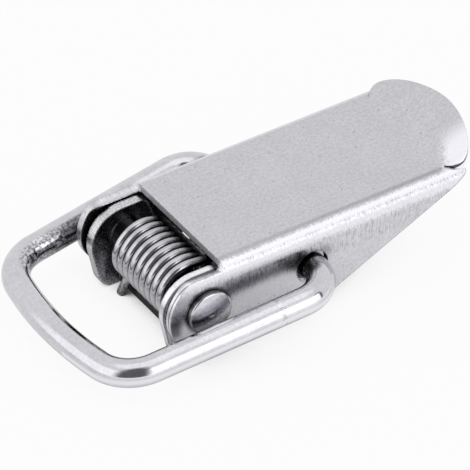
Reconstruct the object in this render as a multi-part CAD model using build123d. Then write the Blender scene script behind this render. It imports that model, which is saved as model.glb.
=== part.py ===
from build123d import *

import os
from math import acos, asin, atan2, cos, degrees, radians, sin, sqrt, tan

# Over centre toggle latch, closed, in millimetres.
# +X runs from the bail's loop to the lever's tip, +Z up from the mounting face.
# The origin is the middle of the two base screw holes, on the mounting face.

# Hinge axis of the lever, which is the axis of the rivet
PIVOT_HEIGHT = 8.0
PIVOT_TO_SCREWS = 12.5

# Base: one folded sheet, a plate with two ears
BASE_SHEET = 1.4
BASE_BEND = 0.8
EAR_SPACE = 16.8
EAR_TOP = 4.45
EAR_TOP_REAR = 3.2
EAR_FRONT = 5.65
EAR_SHOULDER = 5.03
EAR_LEAN = 12.0
EAR_FOOT_REAR = 7.5
EAR_FOOT_ROUND = 2.6
EAR_HEEL_ROUND = 1.5
PLATE_FRONT = 1.2
PLATE_REAR = 20.0
PLATE_CORNER = 3.0
RELIEF_WIDTH = 1.2
RELIEF_DEPTH = 2.6
SCREW_SPACING = 11.0
SCREW_HOLE = 4.3

# Rivet through the ears and the lever
RIVET_SHANK = 5.0
RIVET_HEAD = 6.6
RIVET_HEAD_HEIGHT = 1.1
RIVET_HEAD_DOME = 0.35
RIVET_HEAD_EDGE = 0.35
SHANK_CLEARANCE = 0.05
HEAD_CLEARANCE = 0.12

# Lever: one folded sheet, a top with two flanges and a lifted tip
LEVER_SHEET = 1.1
LEVER_BEND = 1.1
SIDE_CLEARANCE = 0.9
LEVER_TOP = 5.8
TOP_FRONT = 3.15
FLANGE_ROUND = 5.95
NOTCH_EDGE_HEIGHT = 5.1
NOTCH_TILT = 21.0
NOTCH_ROUND = 0.9
NOTCH_SHOULDER_ROUND = 3.0
NOTCH_EAR_ROOM = 0.15
NOTCH_EDGE_LEFT = 0.02
FLANGE_HEEL_ROUND = 5.0
TAPER_HEEL = 18.4
TAPER_TIP_HEIGHT = 5.2
FLANGE_END = 42.25
FLANGE_END_ROUND = 0.8

# Lifted tip of the lever's top, separated from the flanges by a slit each side
TIP_BEND_START = 38.4
TIP_BEND_RADIUS = 6.0
TIP_LIFT_ANGLE = 23.2
TIP_END = 46.6
TIP_OVERHANG = 0.9
TIP_NECK_START = 39.8
TIP_NECK_INSET = 0.35
TIP_WIDEST = 41.7
TIP_ROUND_FULLNESS = 0.45
TIP_CROWN_START = 6.0
TIP_CROWN = 0.2
TIP_EDGE = 0.15
SLIT_WIDTH = 0.15

# Bail: one bent wire, hinged in a hole in each flange
BAIL_WIRE = 4.0
BAIL_HOLE = 5.0
BAIL_AXIS_BACK = 16.7
BAIL_AXIS_UP = 0.25
BAIL_DROOP = 6.3
BAIL_HEAD_GAP = 1.0
BAIL_ARM_TAPER = 4.35
BAIL_LENGTH = 32.0
BAIL_BOW = 1.95
BAIL_HINGE_BEND = 4.5
BAIL_CORNER_BEND = 6.1
BAIL_END_HALF_GAP = 5.8
BAIL_END_CHAMFER = 0.4

# Torsion spring round the rivet
SPRING_WIRE = 1.3
SPRING_MEAN_RADIUS = 4.3
SPRING_SHIFT = 0.4
SPRING_DROP = 0.25
SPRING_PITCH = 1.365
SPRING_FULL_TURNS = 8
SPRING_FAR_END = 5.1
SPRING_CONTACT = 0.03
SPRING_LEG_PLAY = 0.3
SPRING_LEG_LEAN = 12.0
SPRING_LEG_BEND = 0.9
SPRING_LEG_DRIFT = 0.28
SPRING_LEG_FOOT = 0.1
SPRING_LONG_LEG_PAST = 2.6

# Sizes that follow from the ones above
EAR_OUTER_HALF = EAR_SPACE / 2 + BASE_SHEET
LEVER_INNER_HALF = EAR_OUTER_HALF + SIDE_CLEARANCE
LEVER_OUTER_HALF = LEVER_INNER_HALF + LEVER_SHEET
LEVER_UNDER = LEVER_TOP - LEVER_SHEET
LEVER_OUTER_BEND = LEVER_BEND + LEVER_SHEET
BEND_LINE = LEVER_OUTER_HALF - LEVER_OUTER_BEND
TIP_HALF_WIDTH = BEND_LINE + TIP_OVERHANG
RIVET_END = LEVER_OUTER_HALF + HEAD_CLEARANCE + RIVET_HEAD_HEIGHT
BAIL_ARM_SLOPE = tan(radians(BAIL_ARM_TAPER))
BAIL_ARM_HALF = RIVET_END + BAIL_HEAD_GAP + BAIL_WIRE / 2 + BAIL_AXIS_BACK * BAIL_ARM_SLOPE
SHANK_HOLE = RIVET_SHANK / 2 + SHANK_CLEARANCE
HUGE = 200.0


def side_prism(face, half_width):
    """Extrudes a face drawn in the XZ plane evenly to both sides of y = 0."""
    return extrude(face, half_width, both=True)


def cross_pin(radius, half_length, x=0.0, z=0.0):
    """A cylinder along Y, centred on y = 0."""
    return Pos(x, 0, z) * Rot(90, 0, 0) * Cylinder(radius, 2 * half_length)


def block(x0, x1, y0, y1, z0, z1):
    middle = Pos((x0 + x1) / 2, (y0 + y1) / 2, (z0 + z1) / 2)
    return middle * Box(x1 - x0, y1 - y0, z1 - z0)


def at_pivot(shape):
    """Moves a shape drawn about the hinge axis into the part's frame."""
    return Pos(-PIVOT_TO_SCREWS, 0, PIVOT_HEIGHT) * shape


def channel(inner_half, sheet, bend, x0, x1, flat_z, edge_z):
    """A U-section of bent sheet along X. Its web lies at flat_z, its flanges end at edge_z."""
    up = 1 if edge_z > flat_z else -1
    outer_half = inner_half + sheet
    outer = Rectangle(2 * outer_half, 2 * abs(edge_z - flat_z))
    outer = fillet(outer.vertices(), bend + sheet)
    inner = Rectangle(2 * inner_half, 2 * (abs(edge_z - flat_z) - sheet))
    inner = fillet(inner.vertices(), bend)
    section = outer - inner
    keep = Pos(0, -up * HUGE / 2) * Rectangle(HUGE, HUGE)
    section = section & keep
    return extrude(Plane((x0, 0, edge_z), x_dir=(0, 1, 0), z_dir=(1, 0, 0)) * section, x1 - x0)


def rounded(face, x, y, radius):
    """Rounds the corner of a face that lies nearest to a point."""
    return fillet(face.vertices().sort_by_distance((x, y, 0))[0], radius)


def ear_side():
    """Side view of an ear: a flat top, a large round shoulder and a leaning front."""
    foot = -PIVOT_HEIGHT
    lean = radians(EAR_LEAN)
    centre = Vector(EAR_SHOULDER - EAR_FRONT, EAR_TOP - EAR_SHOULDER)
    crown = (centre.X, EAR_TOP)
    shoulder_end = (centre.X - EAR_SHOULDER * cos(lean), centre.Y - EAR_SHOULDER * sin(lean))
    front_foot = (shoulder_end[0] + (shoulder_end[1] - foot) * tan(lean), foot)
    face = make_face(Wire([
        Line((EAR_FOOT_REAR, foot), (EAR_TOP_REAR, EAR_TOP)),
        Line((EAR_TOP_REAR, EAR_TOP), crown),
        ThreePointArc(crown, (-EAR_FRONT, centre.Y), shoulder_end),
        Line(shoulder_end, front_foot),
        Line(front_foot, (EAR_FOOT_REAR, foot)),
    ]))
    face = rounded(face, *front_foot, EAR_FOOT_ROUND)
    return Plane.XZ * rounded(face, EAR_TOP_REAR, EAR_TOP, EAR_HEEL_ROUND)


def base():
    foot = -PIVOT_HEIGHT
    plate_top = foot + BASE_SHEET
    folded = channel(EAR_SPACE / 2, BASE_SHEET, BASE_BEND, -EAR_FRONT - 1, EAR_FOOT_REAR + 1,
                     foot, EAR_TOP + 1)
    ears = folded & side_prism(ear_side(), EAR_OUTER_HALF + 1)
    notch = block(-EAR_FRONT - 1, -PLATE_FRONT, -EAR_SPACE / 2, EAR_SPACE / 2, foot - 1, plate_top + 1)
    ears -= notch
    wide = Rectangle(PLATE_REAR - EAR_FOOT_REAR, 2 * EAR_OUTER_HALF)
    wide = fillet(wide.vertices().sort_by(Axis.X)[-2:], PLATE_CORNER)
    narrow = Rectangle(PLATE_FRONT + EAR_FOOT_REAR, EAR_SPACE - 2 * BASE_BEND)
    plan = Pos((EAR_FOOT_REAR + PLATE_REAR) / 2, 0) * wide
    plan += Pos((EAR_FOOT_REAR - PLATE_FRONT) / 2, 0) * narrow
    body = ears + Pos(0, 0, foot) * extrude(plan, BASE_SHEET)
    relief_from = EAR_OUTER_HALF - RELIEF_DEPTH
    for side in (-1, 1):
        y0, y1 = sorted((side * relief_from, side * (EAR_OUTER_HALF + 1)))
        body -= block(EAR_FOOT_REAR, EAR_FOOT_REAR + RELIEF_WIDTH, y0, y1, foot - 1, plate_top + 1)
        screw = Pos(PIVOT_TO_SCREWS, side * SCREW_SPACING / 2, foot + BASE_SHEET / 2)
        body -= screw * Cylinder(SCREW_HOLE / 2, 2 * BASE_SHEET)
    body -= cross_pin(SHANK_HOLE, EAR_OUTER_HALF + 1)
    return at_pivot(body)


def rivet_head():
    """A low domed head that stands on the XY plane."""
    rim = RIVET_HEAD / 2
    shoulder = RIVET_HEAD_HEIGHT - RIVET_HEAD_DOME
    dome_radius = (rim ** 2 + RIVET_HEAD_DOME ** 2) / (2 * RIVET_HEAD_DOME)
    dome_centre = RIVET_HEAD_HEIGHT - dome_radius
    half_turn = asin(rim / dome_radius) / 2
    dome_mid = (dome_radius * sin(half_turn), dome_centre + dome_radius * cos(half_turn))
    section = make_face(Wire([
        Line((0, 0), (rim, 0)),
        Line((rim, 0), (rim, shoulder)),
        ThreePointArc((rim, shoulder), dome_mid, (0, RIVET_HEAD_HEIGHT)),
        Line((0, RIVET_HEAD_HEIGHT), (0, 0)),
    ]))
    section = rounded(section, rim, shoulder, RIVET_HEAD_EDGE)
    return revolve(Plane.XZ * section, Axis.Z)


def rivet():
    """A plain shank with a head formed on each end."""
    grip = LEVER_OUTER_HALF + HEAD_CLEARANCE
    shape = Cylinder(RIVET_SHANK / 2, 2 * grip)
    shape += Pos(0, 0, grip) * rivet_head()
    shape += Pos(0, 0, -grip) * Rot(180, 0, 0) * rivet_head()
    return at_pivot(Rot(90, 0, 0) * shape)


def lever_side():
    """Side view of a flange: round about the hinge, then a taper from the bail to the tip."""
    taper_foot = (TAPER_HEEL, -FLANGE_ROUND)
    taper_end = (FLANGE_END, TAPER_TIP_HEIGHT)
    end_top = (FLANGE_END, FLANGE_ROUND)
    face = make_face(Wire([
        ThreePointArc((0, -FLANGE_ROUND), (-FLANGE_ROUND, 0), (0, FLANGE_ROUND)),
        Line((0, FLANGE_ROUND), end_top),
        Line(end_top, taper_end),
        Line(taper_end, taper_foot),
        Line(taper_foot, (0, -FLANGE_ROUND)),
    ]))
    face = rounded(face, *taper_foot, FLANGE_HEEL_ROUND)
    return Plane.XZ * rounded(face, *taper_end, FLANGE_END_ROUND)


def front_notch():
    """What is cut from the front of the fold, so that the flanges' round ends stand alone.

    At each side the cut lies across the bent sheet, with a rounded corner
    where it turns up to the top's front edge.
    """
    reach = FLANGE_ROUND + 1
    cut = block(-reach, TOP_FRONT, -BEND_LINE, BEND_LINE, LEVER_UNDER - 0.5, LEVER_TOP + 1)
    tilt = radians(NOTCH_TILT)
    turn = acos((NOTCH_EDGE_HEIGHT - LEVER_TOP + LEVER_OUTER_BEND) / LEVER_OUTER_BEND)
    edge_half = BEND_LINE + LEVER_OUTER_BEND * sin(turn)
    width = TOP_FRONT + reach
    profile = Pos(TOP_FRONT - width / 2, width / 2) * Rectangle(width, width)
    profile = rounded(profile, TOP_FRONT, 0, NOTCH_ROUND)
    for side in (-1, 1):
        outward = Vector(0, side * cos(tilt), sin(tilt))
        edge = Vector(0, side * edge_half, NOTCH_EDGE_HEIGHT)
        upright = profile if side < 0 else mirror(profile, Plane.XZ)
        plane = Plane(origin=edge - outward * LEVER_OUTER_BEND, x_dir=(1, 0, 0), z_dir=outward)
        cut += extrude(plane * upright, HUGE)
    return cut


def tip_flare(side, start_x, gap=0.0):
    """Plan of one side of the tip, from its bend out to its widest place, set out by a gap."""
    neck_half = side * (BEND_LINE - TIP_NECK_INSET + gap)
    widest = (TIP_WIDEST, side * (TIP_HALF_WIDTH + gap))
    flare = Spline((TIP_NECK_START, neck_half), widest, tangents=((1, side), (1, 0)))
    if start_x < TIP_NECK_START:
        return [Line((start_x, neck_half), (TIP_NECK_START, neck_half)), flare]
    return [flare]


def tip_plan():
    """Plan of the lifted tip: it widens past the slits, then rounds off."""
    side_run = TIP_WIDEST + TIP_ROUND_FULLNESS * (TIP_END - TIP_WIDEST)
    end_run = TIP_ROUND_FULLNESS * TIP_HALF_WIDTH
    edges = []
    for side in (1, -1):
        sides = tip_flare(side, TIP_BEND_START)
        edges += sides
        edges.append(Bezier(sides[-1] @ 1, (side_run, side * TIP_HALF_WIDTH),
                            (TIP_END, side * end_run), (TIP_END, 0)))
    edges.append(Line(edges[0] @ 0, edges[3] @ 0))
    return make_face(Wire(edges))


def tip_room():
    """Plan of what the tip and its slits take from the ends of the folds."""
    beyond = FLANGE_END + 1
    edges = []
    for side in (1, -1):
        flare = tip_flare(side, TIP_NECK_START, SLIT_WIDTH)[0]
        edges += [flare, Line(flare @ 1, (beyond, (flare @ 1).Y))]
    edges += [Line(edges[1] @ 1, edges[3] @ 1), Line(edges[0] @ 0, edges[2] @ 0)]
    return make_face(Wire(edges))


def tip_section(run, crown):
    """Cross section of the tip's sheet at a run along its bend, with its edges lowered by crown."""
    lift = radians(TIP_LIFT_ANGLE)
    inner = TIP_BEND_RADIUS - LEVER_SHEET / 2
    turn = min(run / TIP_BEND_RADIUS, lift)
    straight = max(run - TIP_BEND_RADIUS * lift, 0)
    along = (cos(turn), 0, sin(turn))
    x = TIP_BEND_START + inner * sin(turn) + straight * along[0]
    z = LEVER_TOP + inner * (1 - cos(turn)) + straight * along[2]
    half = TIP_HALF_WIDTH + 1
    stations = [-half, -TIP_HALF_WIDTH, -TIP_CROWN_START, 0, TIP_CROWN_START, TIP_HALF_WIDTH, half]
    reach = TIP_HALF_WIDTH - TIP_CROWN_START
    top = [(y, -crown * (max(abs(y) - TIP_CROWN_START, 0) / reach) ** 2) for y in stations]
    under = [(y, drop - LEVER_SHEET) for y, drop in top]
    outline = Wire([
        Spline(*top),
        Line(top[-1], under[-1]),
        Spline(*reversed(under)),
        Line(under[0], top[0]),
    ])
    return Plane(origin=(x, 0, z), x_dir=(0, 1, 0), z_dir=along) * make_face(outline)


def tip_sheet():
    """The sheet of the tip, bent up from the flat of the top and crowned towards its end."""
    bend = TIP_BEND_RADIUS * radians(TIP_LIFT_ANGLE)
    reach = TIP_END - TIP_BEND_START
    stations = [(0, 0), (bend / 2, 0), (bend, 0.1), (0.5 * reach, 0.6), (0.75 * reach, 1), (1.2 * reach, 1)]
    return loft([tip_section(run, share * TIP_CROWN) for run, share in stations])


def lever():
    folded = channel(LEVER_INNER_HALF, LEVER_SHEET, LEVER_BEND, -FLANGE_ROUND - 1, FLANGE_END + 1,
                     LEVER_TOP, -FLANGE_ROUND - 1)
    body = folded & side_prism(lever_side(), LEVER_OUTER_HALF + 1)
    body -= front_notch()
    ear_sweep = sqrt(TOP_FRONT ** 2 + LEVER_UNDER ** 2) - NOTCH_EDGE_LEFT
    body -= cross_pin(ear_sweep, EAR_OUTER_HALF + NOTCH_EAR_ROOM)
    shoulders = body.edges().filter_by(GeomType.ELLIPSE)
    shoulders = shoulders.filter_by(lambda e: e.center().X < -TOP_FRONT / 2 and e.center().Z > 0)
    body = fillet(shoulders, NOTCH_SHOULDER_ROUND)
    neck_half = BEND_LINE - TIP_NECK_INSET
    body -= block(TIP_BEND_START, TIP_NECK_START + 0.1, -neck_half, neck_half, 0, LEVER_TOP + 1)
    body -= extrude(tip_room(), HUGE, both=True)
    body += tip_sheet() & extrude(tip_plan(), HUGE, both=True)
    rims = body.edges().filter_by(lambda e: e.center().X > TIP_WIDEST and e.length > TIP_END - TIP_WIDEST)
    body = fillet(rims.filter_by(lambda e: e.center().Z > LEVER_UNDER), TIP_EDGE)
    body -= cross_pin(SHANK_HOLE, LEVER_OUTER_HALF + 1)
    body -= cross_pin(BAIL_HOLE / 2, LEVER_OUTER_HALF + 1, BAIL_AXIS_BACK, BAIL_AXIS_UP)
    return at_pivot(body)


def bail():
    """Drawn flat with its hinge on the Y axis and its loop towards -X, then set at its droop."""
    corner_half = BAIL_ARM_HALF - BAIL_LENGTH * tan(radians(BAIL_ARM_TAPER))
    arm_end = Vector(-BAIL_LENGTH, corner_half)
    outline = []
    for side in (-1, 1):
        end = Vector(0, side * BAIL_END_HALF_GAP)
        hinge = Vector(0, side * BAIL_ARM_HALF)
        corner = Vector(arm_end.X, side * arm_end.Y)
        outline += [Line(end, hinge), Line(hinge, corner)]
    crossbar = ThreePointArc((arm_end.X, -arm_end.Y), (arm_end.X - BAIL_BOW, 0), arm_end)
    path = Wire(outline[:2] + [crossbar] + outline[2:][::-1])
    bends = path.vertices()
    hinge_bends = [v for v in bends if abs(v.X) < 0.01 and abs(v.Y) > BAIL_END_HALF_GAP + 0.01]
    path = path.fillet_2d(BAIL_HINGE_BEND, hinge_bends)
    loop_bends = [v for v in path.vertices() if abs(v.X - arm_end.X) < 0.01]
    path = path.fillet_2d(BAIL_CORNER_BEND, loop_bends)
    start = Plane(origin=(0, -BAIL_END_HALF_GAP, 0), z_dir=(0, -1, 0))
    wire = sweep(start * Circle(BAIL_WIRE / 2), path=path)
    ends = wire.faces().filter_by(Axis.Y).sort_by(lambda f: abs(f.center().Y))[:2]
    wire = chamfer(ShapeList(ends).edges(), BAIL_END_CHAMFER)
    return at_pivot(Pos(BAIL_AXIS_BACK, 0, BAIL_AXIS_UP) * Rot(0, -BAIL_DROOP, 0) * wire)


def torsion_spring():
    """A close coil round the rivet, drawn along +Z with the side view in XY.

    The short leg hooks over the front edge of the base plate. The long leg
    runs back over the bail's wire, so the spring holds the lever shut.
    """
    wire = SPRING_WIRE / 2
    coil = SPRING_MEAN_RADIUS
    lean = radians(SPRING_LEG_LEAN)
    up = Vector(sin(lean), cos(lean))
    forward = Vector(-cos(lean), sin(lean))
    edge = Vector(-PLATE_FRONT - SPRING_SHIFT, BASE_SHEET - PIVOT_HEIGHT + SPRING_DROP)
    leg_offset = forward.dot(edge) + wire + SPRING_LEG_PLAY
    bend_offset = leg_offset + SPRING_LEG_BEND
    bend_orbit = coil + SPRING_LEG_BEND
    bend_centre = forward * bend_offset - up * sqrt(bend_orbit ** 2 - bend_offset ** 2)
    start_angle = degrees(atan2(bend_centre.Y, bend_centre.X)) % 360

    bail_axis = Vector(BAIL_AXIS_BACK - SPRING_SHIFT, BAIL_AXIS_UP + SPRING_DROP)
    bail_reach = BAIL_WIRE / 2 + wire + SPRING_CONTACT
    fall = degrees(asin((coil - bail_reach) / bail_axis.length) - atan2(bail_axis.Y, bail_axis.X))
    end_angle = 90 - fall
    turns = SPRING_FULL_TURNS + (start_angle - end_angle) / 360
    height = turns * SPRING_PITCH

    helix = Helix(pitch=SPRING_PITCH, height=height, radius=coil, lefthand=True)
    helix = Rot(0, 0, start_angle) * helix
    begin, finish = helix @ 0, helix @ 1
    along = helix % 0
    foot = SPRING_LEG_FOOT - PIVOT_HEIGHT + SPRING_DROP
    leg_dir = Vector(-up.X, -up.Y, -SPRING_LEG_DRIFT).normalized()
    leaving = along * -1
    turned = leaving.get_angle(leg_dir)
    inward = (leg_dir - leaving * cos(radians(turned))).normalized()

    def bend_point(angle):
        across, down = 1 - cos(radians(angle)), sin(radians(angle))
        return begin + (inward * across + leaving * down) * SPRING_LEG_BEND

    leg_top = bend_point(turned)
    leg_foot = leg_top + leg_dir * ((foot - leg_top.Y) / leg_dir.Y)
    long_leg = helix % 1
    long_end = finish + long_leg * ((bail_axis.X + SPRING_LONG_LEG_PAST - finish.X) / long_leg.X)
    path = Wire([
        Line(leg_foot, leg_top),
        ThreePointArc(leg_top, bend_point(turned / 2), begin),
        helix,
        Line(finish, long_end),
    ])
    section = Plane(origin=leg_foot, z_dir=leg_dir * -1) * Circle(wire)
    coil_body = sweep(section, path=path, is_frenet=True)
    return at_pivot(Pos(SPRING_SHIFT, SPRING_FAR_END, -SPRING_DROP) * Rot(90, 0, 0) * coil_body)


PARTS = {
    "base": base,
    "pivot_rivet": rivet,
    "lever": lever,
    "bail": bail,
    "torsion_spring": torsion_spring,
}

os.makedirs("parts", exist_ok=True)
for name, make in PARTS.items():
    shape = make()
    print(name, round(shape.volume, 1), shape.is_valid, len(shape.solids()))
    export_step(shape, f"parts/{name}.step")
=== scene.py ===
from math import cos, pi, radians, sin, tan

import bpy
from mathutils import Matrix, Vector


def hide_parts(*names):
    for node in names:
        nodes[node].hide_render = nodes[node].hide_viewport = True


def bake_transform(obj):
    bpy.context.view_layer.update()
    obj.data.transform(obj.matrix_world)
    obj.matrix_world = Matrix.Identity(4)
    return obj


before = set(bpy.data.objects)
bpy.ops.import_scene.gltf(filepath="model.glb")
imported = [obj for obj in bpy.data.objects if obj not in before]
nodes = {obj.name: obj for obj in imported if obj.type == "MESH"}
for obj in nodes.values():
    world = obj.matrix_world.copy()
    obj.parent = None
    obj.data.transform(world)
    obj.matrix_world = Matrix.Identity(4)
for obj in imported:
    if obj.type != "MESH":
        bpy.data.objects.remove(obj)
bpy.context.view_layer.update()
scene = bpy.context.scene
MM = 0.001

# ---------------------------------------------------------------- camera

# The middle of the lever's hinge, which the camera and the materials are placed from
PIVOT = Vector((-12.5, 0.0, 8.0)) * MM
PIVOT_IN_VIEW = Vector((-10.013, -3.951)) * MM
CAMERA_AZIMUTH = radians(-32.871)
CAMERA_ELEVATION = radians(38.197)
CAMERA_ROLL = radians(-0.177)
CAMERA_DISTANCE = 1.0
CAMERA_LENS = 569.6
CAMERA_SENSOR = 36.0
CAMERA_CLIP = (0.05, 20.0)


def make_camera():
    """The photograph's viewing angle: the hinge lies left of and below the middle of the view."""
    az, el, roll = CAMERA_AZIMUTH, CAMERA_ELEVATION, CAMERA_ROLL
    right = Vector((cos(az), sin(az), 0))
    forward = Vector((-sin(az) * cos(el), cos(az) * cos(el), -sin(el)))
    up = right.cross(forward)
    x_axis = right * cos(roll) + up * sin(roll)
    y_axis = up * cos(roll) - right * sin(roll)
    place = PIVOT - forward * CAMERA_DISTANCE
    place -= x_axis * PIVOT_IN_VIEW.x + y_axis * PIVOT_IN_VIEW.y
    turn = Matrix((x_axis, y_axis, -forward)).transposed()
    camera = bpy.data.cameras.new("camera")
    camera.lens = CAMERA_LENS
    camera.sensor_width = CAMERA_SENSOR
    camera.clip_start, camera.clip_end = CAMERA_CLIP
    obj = bpy.data.objects.new("camera", camera)
    obj.matrix_world = Matrix.Translation(place) @ turn.to_4x4()
    scene.collection.objects.link(obj)
    scene.camera = obj


# ---------------------------------------------------------------- node trees


class Tree:
    """A node tree, with short calls for the few kinds of node that this scene needs."""

    def __init__(self, tree):
        self.tree = tree
        self.nodes = tree.nodes

    def add(self, kind, **settings):
        node = self.nodes.new(kind)
        for key, value in settings.items():
            setattr(node, key, value)
        return node

    def feed(self, socket, value):
        """Links an output to a socket, or writes a plain value into it."""
        if isinstance(value, bpy.types.NodeSocket):
            self.tree.links.new(value, socket)
        elif value is not None:
            socket.default_value = value

    def feed_all(self, node, values):
        for socket, value in zip(node.inputs, values):
            self.feed(socket, value)

    def math(self, operation, *values):
        node = self.add("ShaderNodeMath", operation=operation)
        self.feed_all(node, values)
        return node.outputs[0]

    def dot(self, a, b):
        node = self.add("ShaderNodeVectorMath", operation="DOT_PRODUCT")
        self.feed_all(node, (a, b))
        return node.outputs["Value"]

    def split(self, vector):
        node = self.add("ShaderNodeSeparateXYZ")
        self.feed(node.inputs[0], vector)
        return list(node.outputs)

    def product(self, first, *others):
        """Masks that hold together, and shares of them."""
        for other in others:
            first = self.math("MULTIPLY", first, other)
        return first

    def length(self, a, b):
        """The length of a vector that has the parts a and b."""
        squares = self.math("ADD", self.product(a, a), self.product(b, b))
        return self.math("POWER", squares, 0.5)

    def above(self, value, limit):
        return self.math("GREATER_THAN", value, limit)

    def below(self, value, limit):
        return self.math("LESS_THAN", value, limit)

    def ramp(self, value, low, high, to_low=0.0, to_high=1.0):
        """Eases from to_low to to_high while value goes from low to high."""
        node = self.add("ShaderNodeMapRange", interpolation_type="SMOOTHSTEP")
        self.feed_all(node, (value, low, high, to_low, to_high))
        return node.outputs["Result"]

    def fall(self, value, low, high):
        """Eases from one to nothing while value goes from low to high."""
        return self.ramp(value, low, high, 1.0, 0.0)

    def band(self, value, start, end, soft):
        """One between start and end, easing to nothing over soft on either side."""
        rise = self.ramp(value, start - soft, start + soft)
        return self.product(rise, self.fall(value, end - soft, end + soft))

    def lerp(self, factor, a, b):
        """From a to b by factor."""
        return self.math("MULTIPLY_ADD", factor, self.math("SUBTRACT", b, a), a)

    def ray_kinds(self):
        """Masks for the rays that the camera sends, and for those that metal and glass send."""
        rays = self.add("ShaderNodeLightPath").outputs
        reflected = self.math("MAXIMUM", rays["Is Glossy Ray"], rays["Is Transmission Ray"])
        return rays["Is Camera Ray"], reflected


# ---------------------------------------------------------------- light and floor

# Soft boxes of the studio, which only reflections show: where the middle is (azimuth, elevation),
# half width and half height in degrees, radiance, and between which shares of that half size the
# box fades out. The rim is the dark frame round the front box, 8 degrees wide where half the box
# is 35, and the operator is a dark figure.
FRONT_BOX = {"towards": (-80, 10), "half": (33, 37), "fade": (0.97, 1.03), "radiance": 1.7}
FRONT_RIM = {"start": 1.03, "end": 1.03 + 8 / 35, "soft": 0.03, "radiance": 0.15}
LEFT_BOX = {"towards": (175, 15), "half": (40, 34), "fade": (0.75, 1.15), "radiance": 1.45}
OPERATOR = {"towards": (-128, 8), "half": (38, 70), "fade": (0.45, 1.0), "radiance": 0.16}
OVERHEAD = {"elevations": (62, 74), "radiance": 1.35}
ROOM_RADIANCE = 1.0
# What every other ray gets, and what the camera sees beyond the floor
FILL_RADIANCE = 0.75
BACKDROP_RADIANCE = 1.0
# Keeps a ray that looks away from a box from being counted as inside it
LEAST_FACING = 0.02

FRONT_LAMP = {"towards": (-75, 40), "distance": 0.9, "size": 0.5, "radiance": 0.6}

FLOOR_HALF = 1.5
FLOOR_DROP = 0.1 * MM
FLOOR_GREY = 0.85
# The floor glows as the backdrop does, for the camera and in reflections, by this share
FLOOR_GLOW_SEEN = 0.94
FLOOR_GLOW_REFLECTED = 0.9
# The part's shadow on it comes from how much of the room a point sees within this reach
SHADOW_REACH = 30 * MM
SHADOW_SAMPLES = 24


def direction(azimuth, elevation):
    az, el = radians(azimuth), radians(elevation)
    return Vector((cos(az) * cos(el), sin(az) * cos(el), sin(el)))


def box_reach(t, ray, box, rounded=False):
    """How far a ray is from a box's middle: below one inside the box, above one outside it."""
    azimuth, elevation = box["towards"]
    facing = t.math("MAXIMUM", t.dot(ray, direction(azimuth, elevation)), LEAST_FACING)
    right_and_up = direction(azimuth + 90, 0), direction(azimuth, elevation + 90)
    shares = []
    for axis, half in zip(right_and_up, box["half"]):
        offset = t.math("ABSOLUTE", t.math("DIVIDE", t.dot(ray, axis), facing))
        shares.append(t.math("DIVIDE", offset, tan(radians(half))))
    return t.length(*shares) if rounded else t.math("MAXIMUM", *shares)


def make_world():
    """A white studio with soft boxes in front, at the left and overhead, and a dark operator."""
    world = bpy.data.worlds.new("studio")
    scene.world = world
    world.use_nodes = True
    t = Tree(world.node_tree)
    t.nodes.clear()
    seen, reflected = t.ray_kinds()
    ray = t.add("ShaderNodeTexCoord").outputs["Generated"]

    left = t.fall(box_reach(t, ray, LEFT_BOX), *LEFT_BOX["fade"])
    light = t.lerp(left, ROOM_RADIANCE, LEFT_BOX["radiance"])
    height = t.dot(ray, Vector((0, 0, 1)))
    over = t.ramp(height, *(sin(radians(angle)) for angle in OVERHEAD["elevations"]))
    light = t.lerp(over, light, OVERHEAD["radiance"])
    reach = box_reach(t, ray, FRONT_BOX)
    rim = t.band(reach, FRONT_RIM["start"], FRONT_RIM["end"], FRONT_RIM["soft"])
    light = t.lerp(rim, light, FRONT_RIM["radiance"])
    light = t.lerp(t.fall(reach, *FRONT_BOX["fade"]), light, FRONT_BOX["radiance"])
    operator = t.fall(box_reach(t, ray, OPERATOR, rounded=True), *OPERATOR["fade"])
    light = t.lerp(operator, light, OPERATOR["radiance"])

    light = t.lerp(reflected, FILL_RADIANCE, light)
    light = t.lerp(seen, light, BACKDROP_RADIANCE)
    room = t.add("ShaderNodeBackground")
    t.feed(room.inputs["Color"], (1, 1, 1, 1))
    t.feed(room.inputs["Strength"], light)
    out = t.add("ShaderNodeOutputWorld")
    t.feed(out.inputs["Surface"], room.outputs[0])


def make_front_lamp():
    """A square soft box that stands in front of the part, above the camera's line of sight."""
    towards = direction(*FRONT_LAMP["towards"])
    lamp = bpy.data.lights.new("front_lamp", "AREA")
    lamp.shape = "RECTANGLE"
    lamp.size = lamp.size_y = FRONT_LAMP["size"]
    lamp.energy = FRONT_LAMP["radiance"] * pi * FRONT_LAMP["size"] ** 2
    obj = bpy.data.objects.new("front_lamp", lamp)
    obj.location = PIVOT + towards * FRONT_LAMP["distance"]
    obj.rotation_euler = towards.to_track_quat("Z", "Y").to_euler()
    scene.collection.objects.link(obj)


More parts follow.
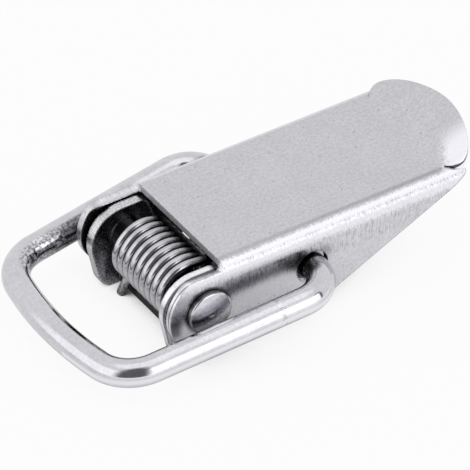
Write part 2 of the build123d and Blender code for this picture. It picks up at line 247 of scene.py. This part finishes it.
def make_floor():
    """White paper that shows as the backdrop's white and keeps a faint shadow of the part."""
    mesh = bpy.data.meshes.new("floor")
    signs = (-1, -1), (1, -1), (1, 1), (-1, 1)
    corners = [(x * FLOOR_HALF, y * FLOOR_HALF, 0) for x, y in signs]
    mesh.from_pydata(corners, [], [(0, 1, 2, 3)])
    floor = bpy.data.objects.new("floor", mesh)
    floor.location.z = -FLOOR_DROP
    scene.collection.objects.link(floor)
    material = bpy.data.materials.new("floor")
    material.use_nodes = True
    t = Tree(material.node_tree)
    t.nodes.clear()
    seen, reflected = t.ray_kinds()
    near = t.add("ShaderNodeAmbientOcclusion", samples=SHADOW_SAMPLES)
    t.feed(near.inputs["Distance"], SHADOW_REACH)
    open_air = near.outputs["AO"]

    # In reflections the floor is dark under the part, and brighter in front, towards the lamp
    _, y, _ = t.split(t.add("ShaderNodeTexCoord").outputs["Object"])
    nearer_lamp = t.ramp(y, -60 * MM, -14 * MM, 1.3, 1.0)
    mirrored = t.product(t.ramp(open_air, 0.1, 0.75, 0.08, 1.0), nearer_lamp)
    # To the camera it is white, with a wide faint shadow and a dark one where the part stands
    wide = t.ramp(open_air, 0.0, 0.6, 0.9, 1.0)
    contact = t.ramp(open_air, 0.08, 0.28, 0.05, 1.0)
    strength = t.lerp(seen, mirrored, t.product(wide, contact))
    share = t.math("MAXIMUM", t.product(seen, FLOOR_GLOW_SEEN),
                   t.product(reflected, FLOOR_GLOW_REFLECTED))

    paper = t.add("ShaderNodeBsdfDiffuse")
    t.feed(paper.inputs["Color"], (FLOOR_GREY, FLOOR_GREY, FLOOR_GREY, 1))
    white = t.add("ShaderNodeEmission")
    t.feed(white.inputs["Color"], (1, 1, 1, 1))
    t.feed(white.inputs["Strength"], strength)
    mix = t.add("ShaderNodeMixShader")
    t.feed_all(mix, (share, paper.outputs[0], white.outputs[0]))
    out = t.add("ShaderNodeOutputMaterial")
    t.feed(out.inputs["Surface"], mix.outputs[0])
    mesh.materials.append(material)


# ---------------------------------------------------------------- steel

# The metal's tint, its grey levels before grain, wear and painted light and shade, and the
# smoothest that it gets
STEEL_TINT = (1.0, 0.99, 1.045)
SHEET_GREY = 0.567
WIRE_GREY = 0.6
SPRING_GREY = 0.42
LEAST_ROUGHNESS = 0.04
# Where most of a noise's values lie, and how strongly its finer layers count
NOISE_RANGE = (0.3, 0.7)
NOISE_ROUGHNESS = 0.6
# Rays per point for rounded edges and for how open a place is, which noise in the paint covers
EDGE_SAMPLES = 4
# A face looks along an axis when its normal has more than this share along it
SQUARE_ON = 0.7

# Sizes that the paints keep to, in millimetres from the middle of the hinge, as in the solids.
# The lever's are half its width, the outer radius of its fold, the height of its top and its
# sheet; the fold begins at BEND_LINE, and the last two lie just inside the outer faces.
LEVER_HALF = 11.8
LEVER_BEND = 2.2
LEVER_TOP = 5.8
LEVER_SHEET = 1.1
BEND_LINE = LEVER_HALF - LEVER_BEND
FLANGE_FACE = LEVER_HALF - 0.15
TOP_FACE = LEVER_TOP - 0.3
# Where the tip's neck begins, the way from the hinge to the tip's near corner and how far along
# it the painted highlight on the corner starts and is full
TIP_NECK = 39.8
TIP_CORNER_WAY = (0.87, -0.49)
TIP_CORNER_HIGHLIGHT = (38.3, 40.0)
# A point on the upper edge of the tip's side wall, and how that edge climbs
TIP_EDGE_X = 40.55
TIP_EDGE_Z = 6.2
TIP_EDGE_SLOPE = 0.4286
# Inner and outer faces of the base's ears, and the radius of the rivet's head
EAR_INNER = 8.4
EAR_OUTER = 9.8
RIVET_HEAD = 3.3


class Steel(Tree):
    """Bare metal: a grey level, a roughness and a bump, each built up in steps.

    Paints are masks from a point's place (x, y, z) about the hinge's middle in millimetres, its
    distance from the latch's middle plane (side) and the way it faces (nx, ny, nz).
    """

    def __init__(self, name, grey, roughness):
        self.material = bpy.data.materials.new(name)
        self.material.use_nodes = True
        super().__init__(self.material.node_tree)
        self.shader = self.nodes["Principled BSDF"]
        self.feed(self.shader.inputs["Metallic"], 1.0)
        self.grey, self.roughness, self.normal = grey, roughness, None
        coords = self.add("ShaderNodeTexCoord")
        offset = self.add("ShaderNodeVectorMath", operation="SUBTRACT")
        self.feed_all(offset, (coords.outputs["Object"], PIVOT))
        scaled = self.add("ShaderNodeVectorMath", operation="SCALE")
        self.feed(scaled.inputs[0], offset.outputs[0])
        self.feed(scaled.inputs["Scale"], 1 / MM)
        self.place = scaled.outputs["Vector"]
        self.x, self.y, self.z = self.split(self.place)
        self.nx, self.ny, self.nz = self.split(coords.outputs["Normal"])
        self.side = self.math("ABSOLUTE", self.y)

    def noise(self, grain, detail=3.0, stretch=(1, 1, 1)):
        """Noise about 0.5, whose grain is in millimetres and drawn out along an axis by stretch."""
        place = self.add("ShaderNodeMapping")
        self.feed(place.inputs["Vector"], self.place)
        self.feed(place.inputs["Scale"], [1 / s for s in stretch])
        node = self.add("ShaderNodeTexNoise")
        self.feed(node.inputs["Vector"], place.outputs[0])
        self.feed(node.inputs["Scale"], 1 / grain)
        self.feed(node.inputs["Detail"], detail)
        self.feed(node.inputs["Roughness"], NOISE_ROUGHNESS)
        return node.outputs["Fac"]

    def vary(self, noise, low, high):
        """From low to high as a noise goes through most of its values."""
        return self.ramp(noise, *NOISE_RANGE, low, high)

    def ragged(self, value, noise, spread):
        """A measure that noise shifts by up to spread either way."""
        return self.math("ADD", value, self.vary(noise, -spread, spread))

    def open_air(self, distance):
        """One in the open, nothing deep between surfaces, looking distance millimetres out."""
        node = self.add("ShaderNodeAmbientOcclusion", samples=EDGE_SAMPLES)
        self.feed(node.inputs["Distance"], distance * MM)
        return node.outputs["AO"]

    def shade(self, factor, mask=None):
        """Multiplies the grey level, everywhere or where the mask says."""
        if mask is not None:
            factor = self.lerp(mask, 1.0, factor)
        self.grey = self.product(self.grey, factor)

    def paint(self, grey, mask):
        """Takes the grey level to another one where the mask says."""
        self.grey = self.lerp(mask, self.grey, grey)

    def roughen(self, noise, spread):
        self.roughness = self.ragged(self.roughness, noise, spread)

    def bump(self, height, depth):
        """Height from 0 to 1 that stands for depth in millimetres."""
        node = self.add("ShaderNodeBump")
        self.feed(node.inputs["Strength"], 1.0)
        self.feed(node.inputs["Distance"], depth * MM)
        self.feed(node.inputs["Height"], height)
        self.feed(node.inputs["Normal"], self.normal)
        self.normal = node.outputs["Normal"]

    def soften(self, radius):
        """Rounds the sheet's cut edges in the shading."""
        node = self.add("ShaderNodeBevel", samples=EDGE_SAMPLES)
        self.feed(node.inputs["Radius"], radius * MM)
        self.feed(node.inputs["Normal"], self.normal)
        self.normal = node.outputs["Normal"]

    def finish(self):
        color = self.add("ShaderNodeCombineColor")
        self.feed_all(color, [self.product(self.grey, tint) for tint in STEEL_TINT])
        roughness = self.math("MAXIMUM", self.roughness, LEAST_ROUGHNESS)
        self.feed(self.shader.inputs["Base Color"], color.outputs[0])
        self.feed(self.shader.inputs["Roughness"], roughness)
        self.feed(self.shader.inputs["Normal"], self.normal)
        return self.material


def sheet_steel(name, roughness, edge):
    """Tumbled stainless sheet: fine mottling, faint wider patches and a few dark specks."""
    steel = Steel(name, SHEET_GREY, roughness)
    fine = steel.noise(0.45, detail=2.0)
    wide = steel.noise(4.0, detail=2.0)
    specks = steel.noise(0.55, detail=1.0)
    steel.shade(steel.ramp(fine, 0.25, 0.75, 0.91, 1.09))
    steel.shade(steel.vary(wide, 0.98, 1.02))
    steel.shade(steel.ramp(specks, 0.24, 0.29, 0.72, 1.0))
    steel.roughen(fine, 0.05)
    steel.soften(edge)
    steel.bump(fine, depth=0.006)
    return steel


def wire_steel(name, grey, roughness, grain=0.5):
    """Drawn wire and the rivet's turned head, with faint marks as wide as grain."""
    steel = Steel(name, grey, roughness)
    marks = steel.noise(grain)
    wide = steel.noise(3.0, detail=2.0)
    steel.shade(steel.vary(marks, 0.93, 1.05))
    steel.shade(steel.vary(wide, 0.96, 1.04))
    steel.roughen(marks, 0.03)
    steel.bump(marks, depth=0.003)
    return steel


# ---------------------------------------------------------------- the lever


def fold_highlight_and_shade(steel, near, on_top, streaks):
    """Painted ragged highlights on the folds, painted shade below them and on the top by the near
    one.
    """
    across = steel.math("SUBTRACT", steel.side, BEND_LINE)
    up = steel.math("SUBTRACT", steel.z, LEVER_TOP - LEVER_BEND)
    outside = steel.product(
        steel.above(steel.length(across, up), LEVER_BEND - LEVER_SHEET * 0.6),
        steel.above(across, 0.0))
    # the angle round the fold goes from the flat top (0) down to the flange (90 degrees)
    angle = steel.ragged(steel.math("ARCTAN2", across, up), streaks, 0.14)
    # painted shade round the fold, from 12 degrees down to between 62 and 74
    steel.paint(0.5, steel.product(steel.fall(angle, radians(62), radians(74)), outside,
                                   steel.ramp(angle, 0.0, radians(12))))
    # painted highlight along the folds, fainter on the far one
    fold_highlight = steel.band(angle, start=radians(14), end=radians(43), soft=radians(9))
    steel.paint(0.93, steel.product(fold_highlight, outside, steel.lerp(near, 0.45, 0.97)))
    # painted shade: a dark line on the near top just before the fold, deeper towards the tip
    shade_line = steel.band(steel.side, BEND_LINE - 0.55, BEND_LINE + 0.1, soft=0.3)
    shade_line = steel.product(shade_line, on_top, near, steel.ramp(steel.x, 0.0, 40.0, 0.5, 1.0))
    steel.shade(0.68, shade_line)


def flange_shade_and_streaks(steel, near, on_flange):
    """Painted dark reflection and upright streaks on the near flange, and painted light on the
    rear.
    """
    upright = steel.noise(0.16, detail=4.0, stretch=(1, 1, 9))
    height = steel.ragged(steel.z, upright, 0.5)
    # painted dark reflection of the bail's near arm on the near flange
    dark_reflection = steel.product(steel.band(height, start=1.2, end=2.9, soft=0.7),
                          steel.band(steel.x, start=1.5, end=19.0, soft=2.0))
    steel.shade(0.42, steel.product(dark_reflection, on_flange, near))
    scratch = steel.product(steel.fall(upright, 0.38, 0.5),
                            steel.band(height, start=0.6, end=4.2, soft=0.6))
    steel.shade(0.72, steel.product(scratch, on_flange, near))
    # painted light on the flanges' rear
    steel.shade(1.1, steel.product(steel.ramp(steel.x, 17.0, 24.0), on_flange))


def tip_light_and_shade(steel, on_top):
    """A painted highlight on the near corner, and a painted reflection on the wall below, dark at
    its rim.
    """
    along, across = TIP_CORNER_WAY
    reach = steel.math("ADD", steel.product(steel.x, along), steel.product(steel.y, across))
    reach = steel.ragged(reach, steel.noise(0.4, detail=4.0), 0.45)
    # painted highlight on the tip's near corner
    corner_highlight = steel.ramp(reach, *TIP_CORNER_HIGHLIGHT)
    steel.paint(0.92, steel.product(corner_highlight, on_top, steel.fall(steel.y, -7.5, -3.5), 0.9))
    # painted reflection on the tip's near wall: a dark rim under its upper edge, bright below
    wall = steel.product(steel.below(steel.ny, -0.45), steel.below(steel.nz, 0.4),
                         steel.above(steel.x, TIP_NECK - 0.1),
                         steel.above(steel.z, LEVER_TOP - 0.9),
                         steel.below(steel.side, LEVER_HALF - 0.9))
    rise = steel.product(steel.math("SUBTRACT", steel.x, TIP_EDGE_X), TIP_EDGE_SLOPE)
    edge = steel.math("ADD", rise, TIP_EDGE_Z)
    depth = steel.math("SUBTRACT", edge, steel.z)
    steel.paint(steel.ramp(depth, 0.45, 0.65, 0.09, 0.93), wall)


def front_light_and_shade(steel, near, on_flange):
    """Painted shadow round the rivets, painted light and a dark line on the near rim, a rough mouth
    edge, a dark patch.
    """
    # painted shadow round the rivet's heads on the flanges
    rivet_shadow = steel.fall(steel.length(steel.x, steel.z), RIVET_HEAD, RIVET_HEAD + 0.7)
    steel.shade(0.25, steel.product(rivet_shadow, on_flange))
    # painted highlight on the rim of the near flange's front, with a painted dark line along its
    # middle
    rim = steel.product(steel.below(steel.math("ABSOLUTE", steel.ny), SQUARE_ON), near,
                        steel.below(steel.x, 2.8),
                        steel.above(steel.side, LEVER_HALF - LEVER_SHEET - 0.02))
    steel.shade(1.4, rim)
    line = steel.band(steel.side, LEVER_HALF - 0.62, LEVER_HALF - 0.42, soft=0.08)
    steel.shade(0.25, steel.product(rim, line))
    mouth = steel.product(steel.below(steel.nx, -SQUARE_ON),
                          steel.above(steel.z, LEVER_TOP - LEVER_SHEET - 0.1))
    steel.roughness = steel.lerp(mouth, steel.roughness, 0.6)
    # a darker patch on the near flange's front, ahead of the rivet's head
    dark_patch = steel.product(steel.band(steel.x, start=-6.0, end=-4.3, soft=0.6),
                         steel.band(steel.z, start=-2.6, end=0.4, soft=0.8))
    steel.shade(0.3, steel.product(dark_patch, on_flange, near))


def paint_inside_shade(steel, streaks):
    """Painted shade on the inside of the channel, the darker the less open the place."""
    in_shade = steel.product(steel.below(steel.side, LEVER_HALF - LEVER_SHEET + 0.02),
                           steel.below(steel.z, LEVER_TOP - LEVER_SHEET + 0.02))
    open_air = steel.open_air(14)
    grey = steel.math("ADD", steel.ramp(open_air, 0.1, 0.7, 0.04, 0.22),
                      steel.ramp(open_air, 0.65, 1.0, 0.0, 0.33))
    steel.paint(steel.product(grey, steel.vary(streaks, 0.7, 1.2)), in_shade)


def lever_steel():
    steel = sheet_steel("lever_steel", roughness=0.3, edge=0.26)
    near = steel.below(steel.y, 0.0)
    on_top = steel.above(steel.z, TOP_FACE)
    on_flange = steel.above(steel.side, FLANGE_FACE)
    streaks = steel.noise(0.16, detail=4.0, stretch=(0.9, 5, 5))
    fold_highlight_and_shade(steel, near, on_top, streaks)
    flange_shade_and_streaks(steel, near, on_flange)
    tip_light_and_shade(steel, on_top)
    front_light_and_shade(steel, near, on_flange)
    paint_inside_shade(steel, streaks)
    return steel.finish()


# ---------------------------------------------------------------- the other pieces


def base_steel():
    steel = sheet_steel("base_steel", roughness=0.25, edge=0.4)
    flat = steel.above(steel.math("ABSOLUTE", steel.ny), SQUARE_ON)
    cut_edge = steel.math("SUBTRACT", 1.0, flat)
    # painted shade on the ears' inner faces, darker towards the top, and speckled
    shaded_inner_faces = steel.product(steel.below(steel.side, EAR_INNER + 0.22), flat, 0.92)
    grey = steel.ramp(steel.z, -6.5, -1.0, 0.62, 0.22)
    specks = steel.ramp(steel.noise(0.3), 0.42, 0.62, 0.6, 1.5)
    steel.paint(steel.product(grey, specks), shaded_inner_faces)
    # the far ear's rim is speckled too
    far_rim = steel.product(cut_edge, steel.above(steel.y, 0.0))
    steel.shade(steel.vary(steel.noise(0.22, detail=2.0), 0.75, 1.3), far_rim)
    # painted shade behind the coil, deep under the lever
    deep = steel.product(steel.fall(steel.open_air(8), 0.15, 0.5), steel.ramp(steel.x, 1.5, 3.0))
    steel.shade(0.15, deep)
    # painted highlight on the near ear's rim, and painted shade where it meets the flange
    near_rim_light_and_shade = steel.product(cut_edge, steel.below(steel.y, 0.02 - EAR_INNER),
                             steel.above(steel.z, -5.5))
    steel.shade(steel.ramp(steel.side, EAR_OUTER - 0.6, EAR_OUTER - 0.3, 1.5, 0.22), near_rim_light_and_shade)
    # the plate's front edge lies in the coil's shade
    front_rim = steel.product(steel.below(steel.nx, -0.6), steel.below(steel.side, EAR_INNER))
    steel.paint(0.1, front_rim)
    return steel.finish()


def rivet_steel():
    steel = wire_steel("rivet_steel", WIRE_GREY, roughness=0.2)
    # painted shade: the head is darker on its lower side and towards the bottom
    steel.shade(steel.ramp(steel.nz, -0.25, 0.1, 0.55, 1.0))
    height = steel.math("ADD", steel.z, steel.product(steel.x, 0.25))
    height = steel.ragged(height, steel.noise(0.5), 0.6)
    steel.shade(steel.ramp(height, -2.2, 1.6, 0.42, 1.0))
    # painted shade on its upper rim and on the shank, deep in the coil
    steel.shade(steel.ramp(steel.nz, 0.68, 0.85, 1.0, 0.3))
    steel.paint(0.06, steel.below(steel.side, EAR_INNER - 0.1))
    return steel.finish()


def bail_steel():
    steel = wire_steel("bail_steel", WIRE_GREY, roughness=0.1)
    # painted highlight below the middle of the near arm's outer side
    lit_outer_side = steel.product(steel.fall(steel.nz, 0.0, 0.2), steel.below(steel.y, -5.0),
                          steel.ramp(steel.nz, -0.5, -0.1))
    steel.paint(0.78, lit_outer_side)
    # painted shade in the lever's holes and, speckled, on the eyes' inner sides
    in_hole = steel.fall(steel.side, LEVER_HALF - 0.2, LEVER_HALF + 0.4)
    steel.paint(0.04, steel.product(steel.above(steel.x, 0.0), in_hole))
    eye = steel.product(steel.fall(steel.nx, -0.2, 0.25), steel.ramp(steel.x, 11.0, 13.0),
                        steel.fall(steel.side, 14.0, 15.2))
    speckles = steel.ramp(steel.noise(0.35), 0.35, 0.65, 0.5, 1.6)
    steel.paint(steel.product(speckles, 0.12), eye)
    # a scratch across the near arm
    scratch = steel.product(steel.band(steel.x, start=7.6, end=8.2, soft=0.25),
                            steel.below(steel.y, -12.0))
    steel.shade(steel.ramp(steel.noise(0.7, detail=2.0), 0.4, 0.6, 0.72, 1.1), scratch)
    # painted dark reflection on the far arm's inner side, speckled, darker towards the lever
    far = steel.product(steel.fall(steel.ny, -0.35, -0.1), steel.ramp(steel.y, 8.0, 10.0),
                        steel.fall(steel.x, 1.0, 8.0))
    steel.paint(steel.product(speckles, steel.ramp(steel.x, -11.0, -4.5, 0.42, 0.15)), far)
    return steel.finish()


def spring_steel():
    steel = wire_steel("spring_steel", SPRING_GREY, roughness=0.12, grain=0.35)
    # painted shade between the turns, painted light on their open crests, and painted shade on the
    # coil's back under the lever
    steel.shade(steel.ramp(steel.open_air(0.9), 0.35, 0.85, 0.1, 1.25))
    round_axis = steel.math("ARCTAN2", steel.z, steel.x)
    shaded_back = steel.product(steel.fall(round_axis, radians(84), radians(106)),
                         steel.above(steel.z, 0.0), steel.fall(steel.open_air(12), 0.8, 1.0))
    steel.paint(0.03, shaded_back)
    # painted shade on the legs, mottled
    shaded_legs = steel.fall(steel.z, -6.2, -5.2)
    steel.shade(steel.ramp(steel.noise(0.4, detail=2.0), 0.35, 0.65, 0.35, 0.95), shaded_legs)
    return steel.finish()


def assign(mesh, material):
    mesh.materials.clear()
    mesh.materials.append(material)


make_camera()
make_world()
make_floor()
make_front_lamp()
scene.view_settings.view_transform = "Standard"

assign(nodes["lever"].data, lever_steel())
assign(nodes["base"].data, base_steel())
assign(nodes["pivot_rivet"].data, rivet_steel())
assign(nodes["bail"].data, bail_steel())
# The spring is drawn from a copy of its mesh with its own material, and the imported one is hidden
spring = bpy.data.objects.new("wound_spring", nodes["torsion_spring"].data.copy())
scene.collection.objects.link(spring)
assign(spring.data, spring_steel())
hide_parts("torsion_spring")
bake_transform(spring)
